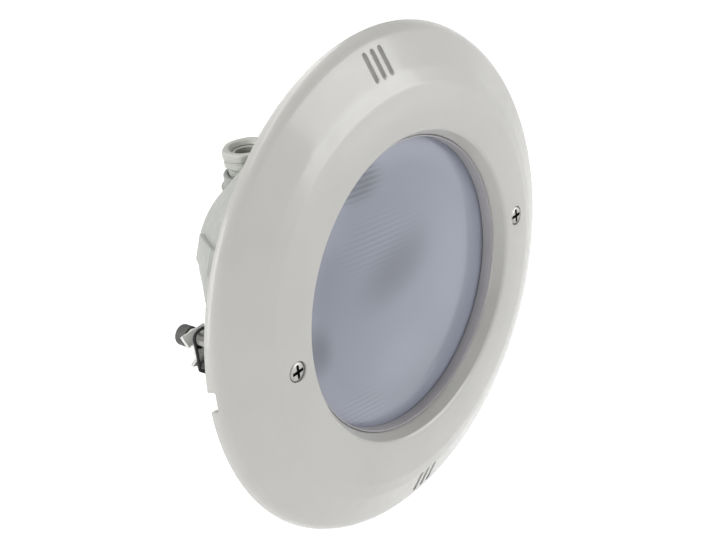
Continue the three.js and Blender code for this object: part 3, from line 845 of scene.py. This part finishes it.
def bowl():
    """Flange, barrel and rounded end in one, with the turret for the gland in a pocket on top."""
    shell = bowl_shell()
    union(shell, gland_turret(), terminal_pedestal())
    cable_hole = upright_rod(9, 22, 34)
    holes = [turret_bore(), cable_hole]
    holes += [rod(BOWL_BORE, 0, 8, x=side * SCREW_R) for side in (-1, 1)]
    holes += [rod(FLANGE_HOLE, 0, 8, x, z) for x, z in flange_places()]
    cut(shell, *holes)
    return finish_piece(shell, "bowl_moulding", "housing", bowl_paint, ["housing_bowl"])


# ---------------------------------------------------------------- screws
# The cross's slot holds its painted shade
CROSS_SHADE_SLOT, THREAD_SLOT = 1, 2         # a screw's materials after the first, which is its head's


def driver_cross(radius, top_y, deep, inward):
    """A tapered cross-shaped cutter. inward is +1 when the head faces -Y."""
    w = radius * 0.235                 # half the width of an arm
    corners = [(w, radius), (w, w), (radius, w), (radius, -w), (w, -w), (w, -radius),
               (-w, -radius), (-w, -w), (-radius, -w), (-radius, w), (-w, w), (-w, radius)]
    rings = []
    for depth, grow in ((-1.0, 1.1), (0.0, 1.0), (deep * 0.6, 0.72), (deep, 0.34)):
        rings.append([(x * grow, top_y + inward * depth, z * grow) for x, z in corners])
    return loft("cross", rings)


def paint_cross_shade(obj, radius, surface_y, inward):
    """Gives the screw its steel, and the walls and middle of the driver's cross a painted shade: near-black
    steel where the recess lies in shadow.
    """
    obj.data.materials.append(screw_steel)
    obj.data.materials.append(cross_painted_shade)
    for face in obj.data.polygons:
        c = face.center
        if math.hypot(c.x, c.z) < radius * 1.02 and (c.y - surface_y) * inward > 0.2:
            if abs(face.normal.y) < 0.93 or math.hypot(c.x, c.z) < radius * 0.4:
                face.material_index = CROSS_SHADE_SLOT


def face_screw(fixing):
    """Long captive screw: pan head with a driver's cross, plain neck and a rolled M6 thread."""
    wide, cross = 5.35, 4.0            # radii of the head and of the driver's cross
    start, end, pitch = 8.0, SCREW_END - 1.0, 1.0
    head = rounded(fronts([
        (0, SCREW_TOP), (3.6, SCREW_TOP - 0.08, 3), (wide, SCREW_TOP - 0.75, 0.9), (wide, SCREW_UNDER, 0.25),
        (SCREW_RADIUS, SCREW_UNDER, 0.2), (SCREW_RADIUS, -12)]), 1, 4, closed=False)

    def thread(r, y, a):
        if not start < y < end:
            return r
        depth = 0.5 * min(1.0, (y - start) / 2, (end - y) / 1.2)
        phase = (y / pitch - a / (2 * math.pi)) % 1.0
        return r - depth * min(1.0, max(0.0, 2.4 * abs(phase - 0.5) - 0.1))

    shank = [(SCREW_RADIUS, start - 1)] + [(SCREW_RADIUS, y) for y in np.arange(start, end, pitch / 7)]
    tip = [(SCREW_RADIUS, end), (2.6, end + 0.5), (2, SCREW_END), (0, SCREW_END)]
    screw = lathe("screw", head + shank + tip, 36, thread)
    cut(screw, driver_cross(cross, -SCREW_TOP, 2.9, 1))
    paint_cross_shade(screw, cross, -SCREW_TOP, 1)
    screw.data.materials.append(thread_steel)
    for face in screw.data.polygons:
        if face.center.y > 0:
            face.material_index = THREAD_SLOT
    return finish_piece(place(screw, fixing), f"long_screw_{fixing}", f"{fixing}_screw", screw_steel,
                        [f"face_screw_{fixing}"])


def flange_screw(number, x, z):
    """Pan-head screw that faces backwards."""
    top, cross = 7.9, 2.3
    profile = rounded([(0, -11), (2, -8.5), (2, 5.3, 0.1), (4, 5.3, 0.2), (4, 6.6, 0.8), (2.6, 7.75, 2),
                       (0, top)], 0.3, 4, closed=False)
    screw = lathe("screw", profile, 40)
    cut(screw, driver_cross(cross, top, 1.7, -1))
    paint_cross_shade(screw, cross, top, -1)
    return finish_piece(moved(screw, x, 0, z), f"flange_pan_screw_{number}", "housing", screw_steel,
                        [f"flange_screw_{number}"])


# ---------------------------------------------------------------- cable gland
def thread_on(profile_r, start, end, pitch, depth):
    """A shape for lathe that rolls a rounded thread into the radius profile_r between two heights."""
    def shape(r, y, a):
        if abs(r - profile_r) > 0.01 or not start < y < end:
            return r
        fade = min(1.0, (y - start) / (0.7 * pitch), (end - y) / (0.7 * pitch))
        return r - depth * fade * (0.5 - 0.5 * math.cos(2 * math.pi * (y / pitch + a / (2 * math.pi))))
    return shape


def gland_sleeve():
    """Threaded neck, screwed into the turret, with a step inside for the rubber seal."""
    outer, seat_r, bore = 12, 9.3, 6.5
    neck = [(bore, 33.3), (outer, 33.3)] + [(outer, y) for y in np.arange(34, 55.6, 0.22)]
    neck += arc(outer - 0.8, 55.5, 0.8, 0, 90, 4) + [(seat_r, 56.3), (seat_r, 46.2), (bore, 46.2)]
    sleeve = upright(lathe("sleeve", neck, MEDIUM, thread_on(outer, 47.5, 55.6, 1.9, 0.85)))
    finish_piece(sleeve, "gland_threaded_sleeve", "housing", gland_paint, ["gland_sleeve"])


def gland_seal():
    """Rubber plug that the thrust ring comes down on, given a mesh of its own."""
    section = rounded([(5, SEAL_FOOT), (9, SEAL_FOOT), (9, 55.5), (5, 55.5)], 0.7)
    plug = upright(lathe("plug", section, MEDIUM))
    finish_piece(plug, "gland_rubber_seal", "housing", black_rubber, ["gland_seal"])
    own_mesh(plug)


def gland_press():
    press = upright(lathe("press", rounded(
        [(7, 55.8), (9, 55.8), (9, 59.6), (11.6, 59.6), (11.6, 60.8), (7, 60.8)], 0.35, 3), MEDIUM))
    finish_piece(press, "gland_press_ring", "gland_press", gland_paint, ["gland_thrust_ring"])


def six_sided(r, _, a):
    """Draws the outside of the cap nut in to a hexagon with soft corners, and leaves its bore round."""
    if r < NUT_NECK:
        return r
    across = NUT_FLATS / math.cos((a + math.pi / 6) % (math.pi / 3) - math.pi / 6)
    limit, power = min(across, NUT_CREST + 1) * (r / NUT_CREST) ** 0.55, 26
    return (limit ** -power + r ** -power) ** (-1 / power)


def gland_cap():
    """Open cap nut: a hexagonal band over a groove and a lower ring."""
    outside = rounded([
        (12.3, 53.5), (13.1, 53.5, 0.4), (14, 54.6, 1.2), (14, 57.2, 1), (13, 57.9, 0.5), (13, 58.5, 0.4),
        (NUT_CREST, 59.4, 0.8), (NUT_CREST, 64, 1.5), (10.2, 64, 1.1), (8.2, 61.1, 0.3), (12.3, 61.1, 0.2),
    ], 0.2, 6)
    nut = upright(lathe("nut", outside, 144, six_sided))
    finish_piece(nut, "gland_cap_nut", "gland_cap", gland_paint, ["gland_nut"], 40)


# ---------------------------------------------------------------- wall fixings
def washer(fixing):
    section = rounded([(3.3, 16.9), (5.4, 16.9), (5.4, 17.7), (3.3, 17.7)], 0.25, 3)
    ring = lathe("washer", fronts(section), COARSE)
    return finish_piece(place(ring, fixing), f"rubber_washer_{fixing}", "housing", black_rubber,
                        [f"screw_washer_{fixing}"])


def clip(fixing):
    ring = lathe("clip", rounded([(3.3, 5.4), (5.8, 5.4), (5.8, 6.4), (3.3, 6.4)], 0.25, 3), COARSE)
    opening = slab("opening", [(-1.8, 0), (1.8, 0), (1.8, 8), (-1.8, 8)], 4, 8)
    cut(ring, opening)
    return finish_piece(place(ring, fixing), f"spring_clip_{fixing}", f"{fixing}_screw", screw_steel,
                        [f"screw_clip_{fixing}"])


def claw_nut(fixing):
    profile = rounded([(3.35, 54.3), (5.8, 54.3, 0.5), (5.8, 61.5, 1.9), (3.35, 61.5, 0.4)], 0.3, 8)
    nut = lathe("nut", profile, MEDIUM)
    return finish_piece(place(nut, fixing), f"round_nut_{fixing}", f"{fixing}_nut", nut_metal,
                        [f"claw_nut_{fixing}"])


def claw_wing():
    """The leaning strip over the hub, and a cutter for the space in front of it."""
    start, end = np.array((48.0, 0.1)), np.array((52.2, 5.4))
    along = (end - start) / np.linalg.norm(end - start)
    thick = np.array((along[1], -along[0])) * 2.0
    section = rounded([tuple(start), tuple(start + thick), tuple(end + thick), tuple(end)], 0.45, 3)
    wing = loft("wing", [[(x, y, z) for y, z in section] for x in (-8.6, 8.2)])
    bevel(wing, 0.5, 3, 60)
    reach, front = 12, 42.5
    clear = [tuple(start), tuple(start + along * reach), (front, start[1] + along[1] * reach),
             (front, start[1])]
    return wing, loft("corner", [[(x, y, z) for y, z in clear] for x in (-12, 12)])


def claw(fixing):
    """Folded stainless sheet: a hanging arm with a side tooth, a leaning wing and a hub."""
    half, low = CLAW_HALF, -CLAW_REACH
    arm = rounded([(-half, 0.5, 0), (-half, -9.6, 0.6), (-half - 4.3, -11.8, 0.25), (-half, -13.2, 0.6),
                   (-half, -15.2, 0.8), (0.6, low, 0.8), (half, low, 1.2), (half, 0.5, 0)], 0.5, 4)
    body = slab("arm", arm, CLAW_Y, CLAW_Y + CLAW_SHEET, 0.35)
    wing, in_front_of_it = claw_wing()
    union(body, rod(5, CLAW_Y, 54, edge=0.3))
    cut(body, in_front_of_it)
    union(body, wing)
    cut(body, rod(THREAD_BORE, 42, 60))
    return finish_piece(place(body, fixing), f"sheet_claw_{fixing}", f"{fixing}_claw", claw_steel,
                        [f"claw_{fixing}"])


def band(fixing):
    """Rubber loop round the screw and the pad, a little drawn in between them."""
    width, low, high, y = 5.5, -19.9, 6.8, 46.3
    spacing = 1.2
    loop = rounded([(width, high), (-width, high), (-width, -15.3, 1.6), (0.2, low, 1.6),
                    (width, low, 1.6)], 4.4, 8)
    path = []
    for (x0, z0), (x1, z1) in zip(loop, loop[1:] + loop[:1]):
        steps = max(1, int(math.hypot(x1 - x0, z1 - z0) / spacing))
        for k in range(steps):
            x, z = x0 + (x1 - x0) * k / steps, z0 + (z1 - z0) * k / steps
            middle = max(0.0, 1 - ((z + 6.5) / 9) ** 2)
            path.append((x * (1 - 0.06 * middle), y, z))
    rubber = place(sweep("band", path, 0.88, 14, closed=True), fixing)
    return finish_piece(rubber, f"rubber_band_{fixing}", f"{fixing}_claw", black_rubber,
                        [f"claw_band_{fixing}"])


def pad(fixing):
    outline = rounded([(-3.9, -14), (1.2, -18.3), (3.9, -18.3), (3.9, -11.4), (-3.9, -11.4)], 0.9, 4)
    body = slab("pad", outline, 44.6, 47.2, 0.55)
    return finish_piece(place(body, fixing), f"rubber_pad_{fixing}", f"{fixing}_claw", pad_rubber,
                        [f"claw_pad_{fixing}"])


# ---------------------------------------------------------------- assembly
def repaint(node, material):
    """Gives a CAD node that stays in view a finished material."""
    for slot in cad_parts[node].material_slots:
        slot.material = material


trim_ring()
gasket()
housing_o_ring()
lens()
reflector()
capsule()
lamp_base()
bowl()
gland_sleeve()
gland_seal()
gland_press()
gland_cap()
for screw_number, screw_place in enumerate(flange_places(), 1):
    flange_screw(screw_number, *screw_place)
for fixing_name, fixing_side in (("left", -1), ("right", 1)):
    lead(fixing_name, fixing_side)
    repaint(f"lamp_terminal_{fixing_name}", brass)
    repaint(f"block_screw_{fixing_name}", brass)
    for make in (face_screw, washer, clip, claw_nut, claw, band, pad):
        make(fixing_name)
repaint("terminal_block", ceramic)


# ---------------------------------------------------------------- studio, in metres
OBJECT_MIDDLE = Vector((0, 0.03, 0))
CAMERA_PLACE = Vector((-0.56685, -0.48846, 0.38970))
CAMERA_AXES = (                        # to the right, up and backwards
    (0.62081, -0.77577, -0.11307), (0.42185, 0.20899, 0.88225), (-0.66079, -0.59541, 0.45701))


def floor():
    """White paper below the light that brightens with distance."""
    mesh = bpy.data.meshes.new("floor")
    size, height = 9.0, -0.30
    mesh.from_pydata([(x * size, y * size, height) for x, y in ((-1, -1), (1, -1), (1, 1), (-1, 1))],
                     [], [(0, 1, 2, 3)])
    plane = bpy.data.objects.new("floor", mesh)
    bpy.context.scene.collection.objects.link(plane)
    material, tree, shader = node_material("floor_paper")
    tree.links.new(ramp(tree, noise(tree, 3), [(0.3, (0.88, 0.88, 0.88)), (0.7, (0.9, 0.9, 0.9))]),
                   shader.inputs["Base Color"])
    far = smooth(tree, length_of(tree, place_on_object(tree)), 0.8, 3.5)
    tree.links.new(ranged(tree, far, 0.22, 0.85, 0.0, 1.0), shader.inputs["Emission Strength"])
    shader.inputs["Emission Color"].default_value = (1, 1, 1, 1)
    shader.inputs["Roughness"].default_value = 0.9
    mesh.materials.append(material)


def soft_box(name, towards, distance, size, power):
    """An area light, (width, height) in size, that looks at the object from the given direction."""
    data = bpy.data.lights.new(name, "AREA")
    data.shape = "RECTANGLE"
    data.size, data.size_y = size
    data.energy = power
    lamp = bpy.data.objects.new(name, data)
    direction = Vector(towards).normalized()
    lamp.location = direction * distance + OBJECT_MIDDLE
    lamp.rotation_mode = "QUATERNION"
    lamp.rotation_quaternion = direction.to_track_quat("Z", "Y")
    lamp.visible_camera = False
    bpy.context.scene.collection.objects.link(lamp)


def camera():
    """Looks from the front left and above, with a long lens."""
    data = bpy.data.cameras.new("camera")
    data.sensor_width = 36
    data.lens = 77.75
    data.clip_start, data.clip_end = 0.01, 50
    view = bpy.data.objects.new("camera", data)
    view.matrix_world = Matrix.Translation(CAMERA_PLACE) @ Matrix(CAMERA_AXES).transposed().to_4x4()
    bpy.context.scene.collection.objects.link(view)
    bpy.context.scene.camera = view


def surroundings():
    """White walls round the horizon under a dimmer ceiling."""
    world = bpy.data.worlds.new("studio")
    world.use_nodes = True
    tree = world.node_tree
    background = tree.nodes["Background"]
    background.inputs["Color"].default_value = (1, 1, 1, 1)
    direction = tree.nodes.new("ShaderNodeTexCoord")
    height = tree.nodes.new("ShaderNodeSeparateXYZ")
    tree.links.new(direction.outputs["Generated"], height.inputs["Vector"])
    climb = smooth(tree, height.outputs["Z"], 0.16, 0.42)
    tree.links.new(ranged(tree, climb, 1.0, 0.22, 0.0, 1.0), background.inputs["Strength"])
    bpy.context.scene.world = world


def studio():
    surroundings()
    bpy.context.scene.view_settings.view_transform = "Standard"
    soft_box("key", (-0.8, 0.45, 0.5), 2.2, (1.2, 1.2), 25)
    soft_box("fill", (0.5, -0.7, 0.2), 2.4, (1.6, 1.4), 30)
    soft_box("overhead", (0.0, 0.4, 1.0), 2.2, (1.4, 1.4), 26)
    soft_box("top_strip", (0.05, -0.08, 1.0), 1.3, (1.8, 0.16), 6)
    soft_box("side_strip", (-1.0, -0.12, 0.3), 1.3, (0.16, 1.1), 5.5)
    floor()
    camera()


studio()
